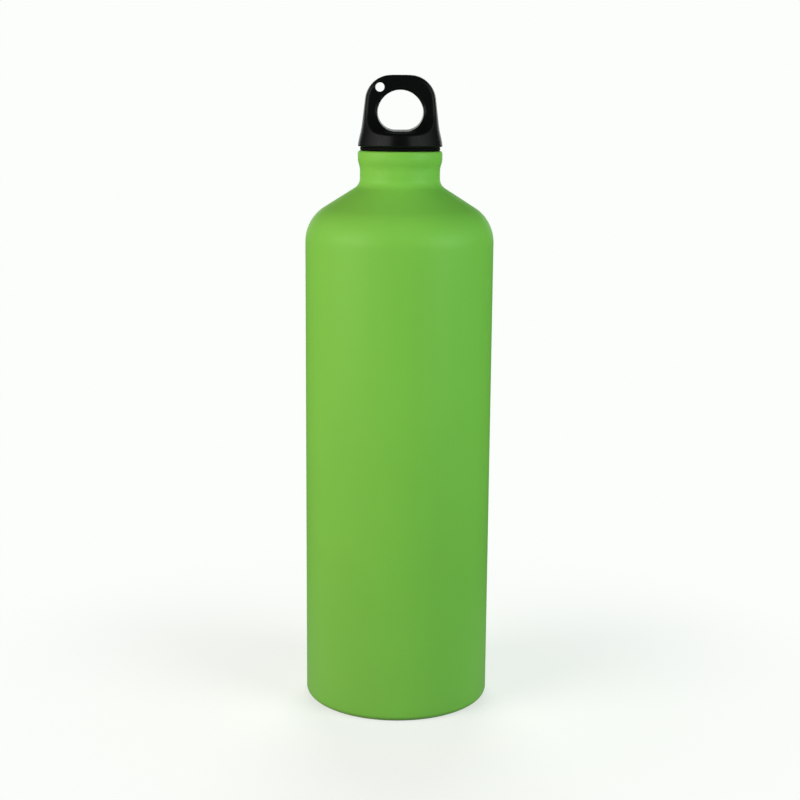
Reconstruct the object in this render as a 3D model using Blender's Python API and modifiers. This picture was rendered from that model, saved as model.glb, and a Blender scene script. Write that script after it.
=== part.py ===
"""Aluminium drinking bottle, 750 ml, with a screw-in loop cap.

Metres, +Z up. The origin is on the bottle's axis, at the level that it stands on. The loop's broad faces
look along -Y and +Y. The three pieces of the closure hang from an empty on the axis, level with the lip,
about which the cap screws out. Their heights are measured from that lip.
"""

import math

import bmesh
import bpy
from mathutils import Matrix, Vector

# Working values
FIT_GAP = 0.0003
CUT_OVERRUN = 0.002
MERGE_DISTANCE = 0.00001
ROUND_STEPS = 48
EDGE_STEPS = 72
EDGE_ARC_STEPS = 3
HALVINGS = 40
SHARP_ANGLE = math.radians(35)

# Bottle: one extruded aluminium shell, necked in and rolled over at the lip
BODY_RADIUS = 0.0365
LIP_HEIGHT = 0.218
WALL = 0.0008
BASE_CORNER_RADIUS = 0.0025
FOOT_WIDTH = 0.003
FOOT_FILLET = 0.003
DOME_RISE = 0.0066
SHOULDER_RADIUS = 0.0156
SHOULDER_SLOPE = math.radians(32.3)
NECK_FILLET = 0.0045
WAIST_HEIGHT = 0.0029
BEAD_RISE = 0.00085
BEAD_HEIGHT = 0.0026
BEAD_FILLET = 0.0075
LIP_EDGE_RADIUS = 0.001

# Gasket: flat silicone washer between the lip and the cap
GASKET_SET_BACK = 0.0009
GASKET_THICKNESS = 0.001
GASKET_EDGE_RADIUS = 0.0004

# Stopper: hollow screw plug. Its stem and the thread ring's bore are the thread's pitch cylinders
STEM_RADIUS = 0.012
STEM_DEPTH = 0.0137
STEM_WALL = 0.0018
STEM_FLOOR = 0.0018
STEM_CHAMFER = 0.001
COLLAR_STEP = 0.0007
RING_WALL = 0.00205

# Loop cap: skirt, roof and carrying loop in one moulding, the roof swept up into the loop by a long fillet
SKIRT_HEIGHT = 0.0069
SKIRT_DRAW_IN = 0.0014
SKIRT_BAND_HEIGHT = 0.0015
SKIRT_BAND_DRAW_IN = 0.00013
SKIRT_EDGE_RADIUS = 0.0005
CAP_HEIGHT = 0.0269
CAP_WALL = 0.0013
LOOP_TAPER = math.radians(6.9)
LOOP_CORNER_RADIUS = 0.01
LOOP_FOOT_THICKNESS = 0.0098
LOOP_TOP_THICKNESS = 0.0084
LOOP_EDGE_RADIUS = 0.001
ROOF_EDGE_HEIGHT = 0.00485
ROOF_SLOPE = math.radians(10)
ROOF_FILLET = 0.0119
LOOP_BAR = 0.00555
HOLE_FLOOR_LEVEL = 0.0056
HOLE_FLOOR_RISE = 0.00185
HOLE_FLOOR_RADIUS = 0.0065
CORD_HOLE_RADIUS = 0.00175
CORD_HOLE_EDGE = 0.0031
CORD_HOLE_ANGLE = math.radians(128)

# Press fit of the stopper's head in the cap's socket: a snap bead in a groove, and keys against turning
SNAP_DEPTH = 0.0004
SNAP_HEIGHT = 0.0008
SNAP_LEVEL_SHARE = 0.42
KEY_COUNT = 6
KEY_WIDTH = 0.0016
KEY_DEPTH = 0.001

# Radii, built up outwards from the stopper's stem to the skirt, which is flush with the bead
RING_BORE_RADIUS = STEM_RADIUS + FIT_GAP
COLLAR_RADIUS = STEM_RADIUS + COLLAR_STEP
MOUTH_RADIUS = COLLAR_RADIUS + FIT_GAP
NECK_RADIUS = RING_BORE_RADIUS + RING_WALL + FIT_GAP + WALL
BEAD_RADIUS = NECK_RADIUS + BEAD_RISE
GASKET_RADIUS = BEAD_RADIUS - GASKET_SET_BACK
SKIRT_RADIUS = BEAD_RADIUS
SKIRT_TOP_RADIUS = SKIRT_RADIUS - SKIRT_DRAW_IN

# Finger hole, between the bar over it and its floor, which cuts off the foot of the round
HOLE_RADIUS = (CAP_HEIGHT - LOOP_BAR - HOLE_FLOOR_LEVEL + HOLE_FLOOR_RISE) / 2
HOLE_LEVEL = CAP_HEIGHT - LOOP_BAR - HOLE_RADIUS

# Levels of the closure over the lip
GASKET_FOOT = FIT_GAP
GASKET_TOP = GASKET_FOOT + GASKET_THICKNESS
CAP_FOOT = GASKET_TOP + FIT_GAP
SOCKET_RADIUS = SKIRT_TOP_RADIUS - CAP_WALL
ROOF_OVER_SOCKET = ROOF_EDGE_HEIGHT + (SKIRT_RADIUS - SOCKET_RADIUS) * math.tan(ROOF_SLOPE)
SOCKET_DEPTH = min(ROOF_OVER_SOCKET - CAP_WALL / math.cos(ROOF_SLOPE), HOLE_FLOOR_LEVEL - CAP_WALL)
SNAP_LEVEL = CAP_FOOT + SOCKET_DEPTH * SNAP_LEVEL_SHARE
KEY_FOOT = SNAP_LEVEL + SNAP_HEIGHT / 2 + 2 * SNAP_DEPTH

# Colours as linear RGB
GREEN_PAINT = (0.168, 0.479, 0.062)
BARE_ALUMINIUM = (0.62, 0.63, 0.65)
BLACK_PLASTIC = (0.009, 0.010, 0.010)
BLACK_SILICONE = (0.006, 0.006, 0.007)


def clear_scene():
    """Removes whatever the file opened with."""
    for obj in list(bpy.data.objects):
        bpy.data.objects.remove(obj, do_unlink=True)


def new_collection(name):
    collection = bpy.data.collections.new(name)
    bpy.context.scene.collection.children.link(collection)
    return collection


def material(name, colour, roughness, metallic):
    """A Principled material of one colour and finish."""
    made = bpy.data.materials.new(name)
    made.use_nodes = True
    shader = made.node_tree.nodes["Principled BSDF"]
    shader.inputs["Base Color"].default_value = (*colour, 1.0)
    shader.inputs["Roughness"].default_value = roughness
    shader.inputs["Metallic"].default_value = metallic
    made.diffuse_color = (*colour, 1.0)
    return made


def arc(centre, radius, start, end, steps):
    """Points of a round stretch of an outline about centre, from one angle to another."""
    angles = [start + (end - start) * i / steps for i in range(steps + 1)]
    return [(centre[0] + radius * math.cos(a), centre[1] + radius * math.sin(a)) for a in angles]


def turned(name, outline, collection, ring=False):
    """A solid of revolution about Z. The outline's (radius, height) points run down its outer side."""
    edges = [(i, i + 1) for i in range(len(outline) - 1)]
    if ring:
        edges.append((len(outline) - 1, 0))
    mesh = bpy.data.meshes.new(name)
    mesh.from_pydata([(radius, 0, height) for radius, height in outline], edges, [])
    obj = bpy.data.objects.new(name, mesh)
    collection.objects.link(obj)
    screw = obj.modifiers.new("turn", "SCREW")
    screw.axis = "Z"
    screw.steps = screw.render_steps = ROUND_STEPS
    screw.use_merge_vertices = True
    screw.merge_threshold = MERGE_DISTANCE
    return obj


def extruded(name, outline, half_depth, place, collection):
    """A prism of a closed outline in the XY plane, half_depth to each side of it, then moved by place."""
    curve = bpy.data.curves.new(name, "CURVE")
    curve.dimensions = "2D"
    curve.fill_mode = "BOTH"
    curve.extrude = half_depth
    spline = curve.splines.new("POLY")
    spline.points.add(len(outline) - 1)
    for point, (x, y) in zip(spline.points, outline):
        point.co = (x, y, 0, 1)
    spline.use_cyclic_u = True
    flat = bpy.data.objects.new(name, curve)
    collection.objects.link(flat)
    obj = bpy.data.objects.new(name, made_mesh(flat))
    obj.data.transform(place)
    bpy.data.objects.remove(flat)
    collection.objects.link(obj)
    return obj


def made_mesh(obj):
    """The object's evaluated shape as a plain mesh, with doubled points welded."""
    bpy.context.view_layer.update()
    graph = bpy.context.evaluated_depsgraph_get()
    mesh = bpy.data.meshes.new_from_object(obj.evaluated_get(graph))
    shape = bmesh.new()
    shape.from_mesh(mesh)
    bmesh.ops.remove_doubles(shape, verts=shape.verts, dist=MERGE_DISTANCE)
    bmesh.ops.recalc_face_normals(shape, faces=shape.faces)
    shape.to_mesh(mesh)
    shape.free()
    return mesh


def box_cutter(name, size, centre, turn, collection):
    """A box of the given size, put at centre and then turned about Z."""
    mesh = bpy.data.meshes.new(name)
    shape = bmesh.new()
    place = Matrix.Rotation(turn, 4, "Z") @ Matrix.Translation(centre)
    bmesh.ops.create_cube(shape, size=1, matrix=place @ Matrix.Diagonal((*size, 1)))
    shape.to_mesh(mesh)
    shape.free()
    obj = bpy.data.objects.new(name, mesh)
    collection.objects.link(obj)
    return obj


def cut_by(obj, cutter):
    """Cuts obj with cutter, and marks cutter as a helper."""
    boolean = obj.modifiers.new(cutter.name, "BOOLEAN")
    boolean.operation = "DIFFERENCE"
    boolean.object = cutter
    cutter.hide_render = True
    cutter.display_type = "WIRE"


def dressed(obj, finish, parent=None):
    """Makes the modifiers real, shades the round faces smooth, and gives the piece its material."""
    mesh = made_mesh(obj)
    obj.modifiers.clear()
    obj.data = mesh
    mesh.shade_smooth()
    mesh.set_sharp_from_angle(angle=SHARP_ANGLE)
    mesh.materials.clear()
    mesh.materials.append(finish)
    obj.parent = parent
    return obj


def neck_levels():
    """Heights of the bead's foot, the waist's top and the waist's foot, and the turn of the S-bend."""
    turn = math.acos(1 - BEAD_RISE / (2 * BEAD_FILLET))
    bead_foot = LIP_HEIGHT - BEAD_HEIGHT
    waist_top = bead_foot - 2 * BEAD_FILLET * math.sin(turn)
    return bead_foot, waist_top, waist_top - WAIST_HEIGHT, turn


def lip_corner(inset):
    """The lip's rounded outer corner moved inwards by inset, which is sharp where its radius is used up."""
    radius = max(LIP_EDGE_RADIUS - inset, 0)
    centre = (BEAD_RADIUS - inset - radius, LIP_HEIGHT - inset - radius)
    return arc(centre, radius, math.pi / 2, 0, 3) if radius else [centre]


def neck_outline(inset):
    """The neck's side from the lip's corner to the foot of the waist, moved inwards by inset."""
    bead_foot, waist_top, waist_foot, turn = neck_levels()
    bead = (BEAD_RADIUS - BEAD_FILLET, bead_foot)
    waist = (NECK_RADIUS + BEAD_FILLET, waist_top)
    points = lip_corner(inset)
    points += arc(bead, BEAD_FILLET - inset, 0, -turn, 2)
    points += arc(waist, BEAD_FILLET + inset, math.pi - turn, math.pi, 2)[1:]
    points.append((NECK_RADIUS - inset, waist_foot))
    return points


def body_outline(inset):
    """The bottle's side from the lip's inner edge to the middle of the base, moved inwards by inset."""
    waist_foot = neck_levels()[2]
    lean = math.pi / 2 - SHOULDER_SLOPE
    fillet = (NECK_RADIUS + NECK_FILLET, waist_foot)
    slope_top = (fillet[0] - NECK_FILLET * math.cos(lean), fillet[1] - NECK_FILLET * math.sin(lean))
    shoulder_centre = BODY_RADIUS - SHOULDER_RADIUS
    slope_run = shoulder_centre + SHOULDER_RADIUS * math.cos(lean) - slope_top[0]
    slope_foot_height = slope_top[1] - slope_run * math.tan(SHOULDER_SLOPE)
    shoulder = (shoulder_centre, slope_foot_height - SHOULDER_RADIUS * math.sin(lean))
    corner = (BODY_RADIUS - BASE_CORNER_RADIUS, BASE_CORNER_RADIUS)
    foot = (corner[0] - FOOT_WIDTH, FOOT_FILLET)
    dome_turn = 2 * math.atan(DOME_RISE / foot[0])
    dome_radius = (foot[0] - FOOT_FILLET * math.sin(dome_turn)) / math.sin(dome_turn)
    dome = (0, DOME_RISE - dome_radius)

    points = [(MOUTH_RADIUS, LIP_HEIGHT - inset)]
    points += neck_outline(inset)[:-1]
    points += arc(fillet, NECK_FILLET + inset, math.pi, math.pi + lean, 4)
    points += arc(shoulder, SHOULDER_RADIUS - inset, lean, 0, 6)
    points += arc(corner, BASE_CORNER_RADIUS - inset, 0, -math.pi / 2, 3)
    points += arc(foot, FOOT_FILLET - inset, -math.pi / 2, -math.pi / 2 - dome_turn, 2)
    points += arc(dome, dome_radius + inset, math.pi / 2 - dome_turn, math.pi / 2, 4)[1:-1]
    points.append((0, DOME_RISE + inset))
    return points


def bottle_shell(parts, paint):
    """The aluminium shell: base dome, wall, shoulder, necked-in waist, bead and rolled lip."""
    outline = body_outline(WALL)[::-1] + body_outline(0)
    return dressed(turned("bottle_shell", outline, parts), paint)


def thread_ring(parts, metal):
    """The ring that the stopper screws into, held between the neck's waist and the rolled lip."""
    side = neck_outline(WALL + FIT_GAP)
    top = side[0][1]
    foot = side[-1][1]
    lead_in = MOUTH_RADIUS - RING_BORE_RADIUS
    outline = [(RING_BORE_RADIUS, foot + lead_in), (RING_BORE_RADIUS, top - lead_in), (MOUTH_RADIUS, top)]
    outline += side
    outline.append((MOUTH_RADIUS, foot))
    return dressed(turned("thread_ring", outline, parts, ring=True), metal)


def gasket(parts, silicone, cap_axis):
    """A washer of rounded section that rests on the lip, round the stopper's collar."""
    inner = MOUTH_RADIUS + GASKET_EDGE_RADIUS
    outer = GASKET_RADIUS - GASKET_EDGE_RADIUS
    low = GASKET_FOOT + GASKET_EDGE_RADIUS
    high = GASKET_TOP - GASKET_EDGE_RADIUS
    quarter = math.pi / 2
    outline = arc((inner, low), GASKET_EDGE_RADIUS, -quarter, -2 * quarter, 2)
    outline += arc((inner, high), GASKET_EDGE_RADIUS, 2 * quarter, quarter, 2)
    outline += arc((outer, high), GASKET_EDGE_RADIUS, quarter, 0, 2)
    outline += arc((outer, low), GASKET_EDGE_RADIUS, 0, -quarter, 2)
    return dressed(turned("gasket", outline, parts, ring=True), silicone, cap_axis)


def snap_points(radius):
    """The points of the snap bead, or of its groove, on a wall of the given radius, from the top down."""
    half = SNAP_HEIGHT / 2
    return [
        (radius, SNAP_LEVEL + half + SNAP_DEPTH),
        (radius + SNAP_DEPTH, SNAP_LEVEL + half),
        (radius + SNAP_DEPTH, SNAP_LEVEL - half),
        (radius, SNAP_LEVEL - half - SNAP_DEPTH),
    ]


def stopper(parts, cutters, plastic, cap_axis):
    """The hollow screw plug: keyed head with a snap bead, gasket collar, and a stem closed at its foot."""
    head_radius = SOCKET_RADIUS - FIT_GAP
    head_top = CAP_FOOT + SOCKET_DEPTH - FIT_GAP
    inside = STEM_RADIUS - STEM_WALL
    collar_foot = -WALL
    outline = [(0, STEM_FLOOR - STEM_DEPTH), (inside, STEM_FLOOR - STEM_DEPTH), (inside, head_top)]
    outline += [(head_radius, head_top), *snap_points(head_radius), (head_radius, CAP_FOOT)]
    outline += [(COLLAR_RADIUS, CAP_FOOT), (COLLAR_RADIUS, collar_foot)]
    outline += [(STEM_RADIUS, collar_foot - COLLAR_STEP), (STEM_RADIUS, STEM_CHAMFER - STEM_DEPTH)]
    outline += [(STEM_RADIUS - STEM_CHAMFER, -STEM_DEPTH), (0, -STEM_DEPTH)]
    plug = turned("stopper", outline, parts)
    notch_foot = KEY_FOOT - FIT_GAP
    notch_height = head_top + CUT_OVERRUN - notch_foot
    size = (KEY_DEPTH + SNAP_DEPTH + CUT_OVERRUN, KEY_WIDTH + 2 * FIT_GAP, notch_height)
    centre = (SOCKET_RADIUS - KEY_DEPTH - FIT_GAP + size[0] / 2, 0, notch_foot + notch_height / 2)
    for i in range(KEY_COUNT):
        turn = 2 * math.pi * i / KEY_COUNT
        cut_by(plug, box_cutter(f"head_notch_{i + 1}", size, centre, turn, cutters))
    return dressed(plug, plastic, cap_axis)


def socket(cutters):
    """The cutter of the cap's socket: a round pocket with the snap groove, less the keys left standing."""
    ceiling = CAP_FOOT + SOCKET_DEPTH
    under = CAP_FOOT - CUT_OVERRUN
    outline = [(0, ceiling), (SOCKET_RADIUS, ceiling), *snap_points(SOCKET_RADIUS)]
    outline += [(SOCKET_RADIUS, under), (0, under)]
    pocket = turned("socket_cut", outline, cutters)
    key_height = ceiling + CUT_OVERRUN - KEY_FOOT
    size = (KEY_DEPTH + CUT_OVERRUN, KEY_WIDTH, key_height)
    centre = (SOCKET_RADIUS - KEY_DEPTH + size[0] / 2, 0, KEY_FOOT + key_height / 2)
    for i in range(KEY_COUNT):
        turn = 2 * math.pi * i / KEY_COUNT
        cut_by(pocket, box_cutter(f"socket_key_{i + 1}", size, centre, turn, cutters))
    return pocket


def loop_corner():
    """Centre of the round that joins the loop's tapered side to its top, as (radius, height)."""
    level = CAP_FOOT + CAP_HEIGHT - LOOP_CORNER_RADIUS
    tangent_level = level + LOOP_CORNER_RADIUS * math.sin(LOOP_TAPER)
    side = SKIRT_TOP_RADIUS - (tangent_level - CAP_FOOT - SKIRT_HEIGHT) * math.tan(LOOP_TAPER)
    return side - LOOP_CORNER_RADIUS * math.cos(LOOP_TAPER), level


def cap_outline():
    """The cap's side, from the middle of the loop's top down to the middle of the cap's foot."""
    foot = (SKIRT_RADIUS - SKIRT_EDGE_RADIUS, CAP_FOOT + SKIRT_EDGE_RADIUS)
    points = [(0, CAP_FOOT + CAP_HEIGHT)]
    points += arc(loop_corner(), LOOP_CORNER_RADIUS, math.pi / 2, LOOP_TAPER, 8)
    points.append((SKIRT_TOP_RADIUS, CAP_FOOT + SKIRT_HEIGHT))
    points.append((SKIRT_RADIUS - SKIRT_BAND_DRAW_IN, CAP_FOOT + SKIRT_BAND_HEIGHT))
    points += arc(foot, SKIRT_EDGE_RADIUS, 0, -math.pi / 2, 3)
    points.append((0, CAP_FOOT))
    return points


def loop_side_outline():
    """What is cut away beside the loop, seen edge on, as (distance from the loop's middle, height)."""
    top = CAP_FOOT + CAP_HEIGHT
    half_foot = LOOP_FOOT_THICKNESS / 2
    half_top = LOOP_TOP_THICKNESS / 2
    roof_edge = CAP_FOOT + ROOF_EDGE_HEIGHT
    roof_top = roof_edge + (SKIRT_RADIUS - half_foot) * math.tan(ROOF_SLOPE)
    draft = math.atan2(half_foot - half_top, top - roof_top)
    back = ROOF_FILLET * math.tan((math.pi / 2 - draft - ROOF_SLOPE) / 2)
    fillet_distance = half_foot - back * math.sin(draft) + ROOF_FILLET * math.cos(draft)
    fillet_level = roof_top + back * math.cos(draft) + ROOF_FILLET * math.sin(draft)
    start, end = math.pi + draft, 1.5 * math.pi - ROOF_SLOPE
    outside = SKIRT_RADIUS + CUT_OVERRUN
    points = [(half_top - CUT_OVERRUN * math.tan(draft), top + CUT_OVERRUN)]
    points += arc((fillet_distance, fillet_level), ROOF_FILLET, start, end, 10)
    points.append((outside, roof_edge - CUT_OVERRUN * math.tan(ROOF_SLOPE)))
    points.append((outside, top + CUT_OVERRUN))
    return points


def at_height(outline, height):
    """An outline's distance from the axis or plane at a height on its way down, and how it grows upwards."""
    for (upper, high), (lower, low) in zip(outline, outline[1:]):
        if low <= height <= high and low < high:
            growth = (upper - lower) / (high - low)
            return lower + (height - low) * growth, growth
    raise ValueError("the outline doesn't reach that height")


def end_of_face(inside, outside):
    """The height at which the loop's face runs out, by halving from one height on it and one beyond it."""
    for _ in range(HALVINGS):
        middle = (inside + outside) / 2
        if at_height(cap_outline(), middle)[0] > at_height(loop_side_outline(), middle)[0]:
            inside = middle
        else:
            outside = middle
    return inside


def loop_edge(side):
    """The edge round one face of the loop: its points, each with the two surfaces' outward directions."""
    middle = CAP_FOOT + HOLE_LEVEL
    top = end_of_face(middle, CAP_FOOT + CAP_HEIGHT)
    foot = end_of_face(middle, CAP_FOOT + ROOF_EDGE_HEIGHT)
    edge = []
    for i in range(EDGE_STEPS):
        turn = 2 * math.pi * i / EDGE_STEPS
        height = (top + foot) / 2 + (top - foot) / 2 * math.cos(turn)
        radius, side_growth = at_height(cap_outline(), height)
        half, face_growth = at_height(loop_side_outline(), height)
        x = math.copysign(math.sqrt(max(radius**2 - half**2, 0)), math.sin(turn))
        face = Vector((0, side, -face_growth)).normalized()
        wall = Vector((x, side * half, -side_growth * radius)).normalized()
        edge.append((Vector((x, side * half, height)), face, wall))
    return edge


def hole_edge(side):
    """The edge of the finger hole on one face of the loop, in the same form as the face's own edge."""
    outline = hole_outline()
    edge = []
    for i, (x, height) in enumerate(outline):
        before = outline[i - 1]
        after = outline[(i + 1) % len(outline)]
        half, growth = at_height(loop_side_outline(), height)
        face = Vector((0, side, -growth)).normalized()
        wall = Vector((before[1] - after[1], 0, after[0] - before[0])).normalized()
        edge.append((Vector((x, side * half, height)), face, wall))
    return edge


def edge_cutter(name, edge, collection):
    """What rounding takes off along a closed edge: a loft through a section across each of its points.

    The section's first and last chords run on through both faces by their own length.
    """
    shape = bmesh.new()
    sections = []
    for place, face, wall in edge:
        spread = (face + wall) / (1 + face.dot(wall))
        centre = place - spread * LOOP_EDGE_RADIUS
        section = []
        for i in range(EDGE_ARC_STEPS + 1):
            outwards = face.slerp(wall, i / EDGE_ARC_STEPS)
            section.append(centre + outwards * LOOP_EDGE_RADIUS)
        section[0] = 2 * section[0] - section[1]
        section[-1] = 2 * section[-1] - section[-2]
        section.append(place + spread * CUT_OVERRUN)
        sections.append([shape.verts.new(point) for point in section])
    for first, second in zip(sections, sections[1:] + sections[:1]):
        for i in range(len(first)):
            shape.faces.new((first[i - 1], first[i], second[i], second[i - 1]))
    bmesh.ops.triangulate(shape, faces=shape.faces)
    bmesh.ops.recalc_face_normals(shape, faces=shape.faces)
    mesh = bpy.data.meshes.new(name)
    shape.to_mesh(mesh)
    shape.free()
    obj = bpy.data.objects.new(name, mesh)
    collection.objects.link(obj)
    return obj


def hole_outline():
    """The loop's finger hole: round, with a flattened floor, as (x, height)."""
    centre = (0, CAP_FOOT + HOLE_LEVEL)
    corner_radius = min(HOLE_FLOOR_RADIUS, HOLE_RADIUS - HOLE_FLOOR_RISE)
    corner_level = CAP_FOOT + HOLE_FLOOR_LEVEL + corner_radius
    reach = HOLE_RADIUS - corner_radius
    meet = math.asin((corner_level - centre[1]) / reach)
    corner_x = reach * math.cos(meet)
    points = arc(centre, HOLE_RADIUS, meet, math.pi - meet, 20)
    points += arc((-corner_x, corner_level), corner_radius, math.pi - meet, 1.5 * math.pi, 6)[1:]
    points += arc((corner_x, corner_level), corner_radius, -math.pi / 2, meet, 6)[:-1]
    return points


def cord_hole_outline():
    """The small round hole in the loop's corner, as (x, height)."""
    corner = loop_corner()
    distance = LOOP_CORNER_RADIUS - CORD_HOLE_EDGE
    x = distance * math.cos(CORD_HOLE_ANGLE) - corner[0]
    height = corner[1] + distance * math.sin(CORD_HOLE_ANGLE)
    return arc((x, height), CORD_HOLE_RADIUS, 0, 2 * math.pi, 16)[:-1]


def loop_cap(parts, cutters, plastic, cap_axis):
    """The moulded cap: a turned blank, cut back to the loop, pierced, rounded and socketed."""
    cap = turned("loop_cap", cap_outline(), parts)
    across = SKIRT_RADIUS + CUT_OVERRUN
    upright = Matrix.Rotation(math.pi / 2, 4, "X")
    for side, turn in (("front", -math.pi / 2), ("back", math.pi / 2)):
        place = Matrix.Rotation(turn, 4, "Z") @ upright
        cut_by(cap, extruded(f"loop_{side}_cut", loop_side_outline(), across, place, cutters))
    cut_by(cap, extruded("finger_hole_cut", hole_outline(), across, upright, cutters))
    for side, towards in (("front", -1), ("back", 1)):
        cut_by(cap, edge_cutter(f"loop_{side}_rounding", loop_edge(towards), cutters))
        cut_by(cap, edge_cutter(f"hole_{side}_rounding", hole_edge(towards), cutters))
    cut_by(cap, extruded("cord_hole_cut", cord_hole_outline(), across, upright, cutters))
    cut_by(cap, socket(cutters))
    return dressed(cap, plastic, cap_axis)


def main():
    clear_scene()
    parts = new_collection("aluminium_bottle")
    cutters = new_collection("cutters")
    paint = material("green_paint", GREEN_PAINT, 0.45, 0.0)
    metal = material("bare_aluminium", BARE_ALUMINIUM, 0.35, 1.0)
    plastic = material("black_plastic", BLACK_PLASTIC, 0.3, 0.0)
    silicone = material("black_silicone", BLACK_SILICONE, 0.6, 0.0)
    cap_axis = bpy.data.objects.new("cap_axis", None)
    cap_axis.location = (0, 0, LIP_HEIGHT)
    parts.objects.link(cap_axis)

    bottle_shell(parts, paint)
    thread_ring(parts, metal)
    gasket(parts, silicone, cap_axis)
    stopper(parts, cutters, plastic, cap_axis)
    loop_cap(parts, cutters, plastic, cap_axis)


main()
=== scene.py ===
import itertools
import math

import bpy
import numpy as np
from bpy.props import FloatProperty, FloatVectorProperty, PointerProperty
from mathutils import Matrix, Vector


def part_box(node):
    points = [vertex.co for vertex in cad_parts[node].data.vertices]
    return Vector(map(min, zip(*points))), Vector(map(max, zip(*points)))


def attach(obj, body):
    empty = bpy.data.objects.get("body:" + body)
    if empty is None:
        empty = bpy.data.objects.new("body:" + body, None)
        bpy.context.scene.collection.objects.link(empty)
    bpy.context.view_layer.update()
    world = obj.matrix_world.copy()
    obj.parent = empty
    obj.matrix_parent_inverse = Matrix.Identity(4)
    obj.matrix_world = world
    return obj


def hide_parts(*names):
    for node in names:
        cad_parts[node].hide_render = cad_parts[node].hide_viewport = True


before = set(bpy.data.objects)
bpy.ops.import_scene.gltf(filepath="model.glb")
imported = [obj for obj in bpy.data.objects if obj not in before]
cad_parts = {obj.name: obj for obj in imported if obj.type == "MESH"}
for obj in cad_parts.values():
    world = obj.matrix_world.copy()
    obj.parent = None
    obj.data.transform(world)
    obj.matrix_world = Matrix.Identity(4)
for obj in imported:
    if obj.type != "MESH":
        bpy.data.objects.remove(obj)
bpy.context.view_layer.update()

bl_info = {
    "name": "Aluminium Drinking Bottle",
    "version": (1, 0, 0),
    "blender": (4, 5, 0),
    "location": "3D View > Sidebar > Bottle",
    "description": "Dresses the packed bottle: shell, thread ring, gasket, stopper, loop cap and studio",
    "category": "Add Mesh",
}

WHITE = (1.0, 1.0, 1.0)

# Edges that bend by more than this stay sharp, on the turned pieces and on the moulded cap
SHARP_ANGLE = math.radians(32)
MOULDED_SHARP_ANGLE = math.radians(75)

# Steps round the axis, of the shell and of the smaller turned pieces
BODY_STEPS = 256
CLOSURE_STEPS = 192

# Steps along the roundings and straights of an outline
EDGE_STEPS = 8
MOUTH_STEPS = 6
CORNER_STEPS = 10
FILLET_STEPS = 14
SHOULDER_STEPS = 24
DOME_STEPS = 20
WAIST_ROWS = 3
WALL_ROWS = 40

THREAD_ROW = 0.00008  # height of a row of faces where a thread is cut
LEAST_ROUND = 0.0001  # round that is left on the inside of the lip's edge

MOULDING_GRID = 0.0003  # size of the cells from which the cap's surface is made
GRID_MARGIN = 2  # cells past the cap on each side
RELAX_ROUNDS = 4  # rounds that even out the points on the cap
PROBE = 0.000002  # step for measuring the slope of a distance
LEAST_SLOPE = 0.25  # keeps a point from being moved too far, where that slope is small

# Stops of the ramps in the finishes
RIDGES = (0.66, 0.72)  # part of the noise that shows as hairline scratches
PATCHES = (0.5, 0.62)  # where there are any
WORN_EDGE = (0.00045, 0.00036)  # height up to which the foot's paint is worn
WORN_SCATTER = 0.0008  # how ragged that edge is
PARTING_HALF = (0.00016, 0.00004)  # half the width of the mould's parting line
PARTING_FADE = 0.001  # height over which it begins
DUST = (0.62, 0.74)  # part of the noise that shows as dust

LAMP_SIZE = (0.6, 0.35)
LAMP_SPREAD = math.radians(72)
LAMP_AIM = 0.68  # share of the bottle's height that the lamps are aimed at
KEY_TINT = (1.0, 0.88, 0.84)
FILL_TINT = (0.88, 0.98, 0.94)
CLIP_START = 0.01  # nearest distance that the camera shows

FLOOR_HALF = 3.0  # from the bottle's axis to each side of the floor
FLOOR_FADE = (0.055, 0.22)  # where the floor turns into plain background
FLOOR_CARD = (0.39, 0.41)  # shades of the card near the bottle
FLOOR_GLOW = 0.6  # that card's own light, as the camera sees it
FLOOR_IN_GLOSS = 0.3  # how much of the floor shows in the gloss
FAR_FLOOR_LOSS = 0.9  # how much less of it further out
DARK_CARD = (0.1, 0.1, 0.1)  # what lights the bottle from below

# Ends of the walls that show in the gloss, as parts of the direction they lie in
OPENING_SIDES = (0.28, 0.13)  # opening in front
OPENING_DEPTH = (0.1, -0.1)
LEFT_TO_RIGHT = (-0.3, 0.3)  # walls at the sides
FRONT_TO_BACK = (-0.7, 0.6)
WALL_TOP = (0.7, 0.5)
BACK_WALL_SIDES = (0.78, 0.95)  # low wall behind
BACK_WALL_TOP = (0.28, 0.15)

shell_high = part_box("bottle_shell")[1]
gasket_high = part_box("gasket")[1]
stopper_low, stopper_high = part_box("stopper")
cap_low, cap_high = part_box("loop_cap")


def length(name, default, description):
    """A size that can be set in the sidebar."""
    return FloatProperty(
        name=name, description=description, default=default, precision=5, subtype="DISTANCE", unit="LENGTH"
    )


def angle(name, degrees, description):
    """An angle that can be set in the sidebar."""
    return FloatProperty(
        name=name, description=description, default=math.radians(degrees), subtype="ANGLE", unit="ROTATION"
    )


def share(name, default, description):
    """A plain number that can be set in the sidebar."""
    return FloatProperty(name=name, description=description, default=default, precision=3)


def power(name, default, description):
    """The power of a lamp in watts."""
    return FloatProperty(name=name, description=description, default=default, min=0.0, unit="POWER")


def colour(name, default, description):
    """A linear colour that can be set in the sidebar."""
    return FloatVectorProperty(
        name=name, description=description, default=default, size=3, min=0.0, max=1.0, subtype="COLOR"
    )


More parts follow.
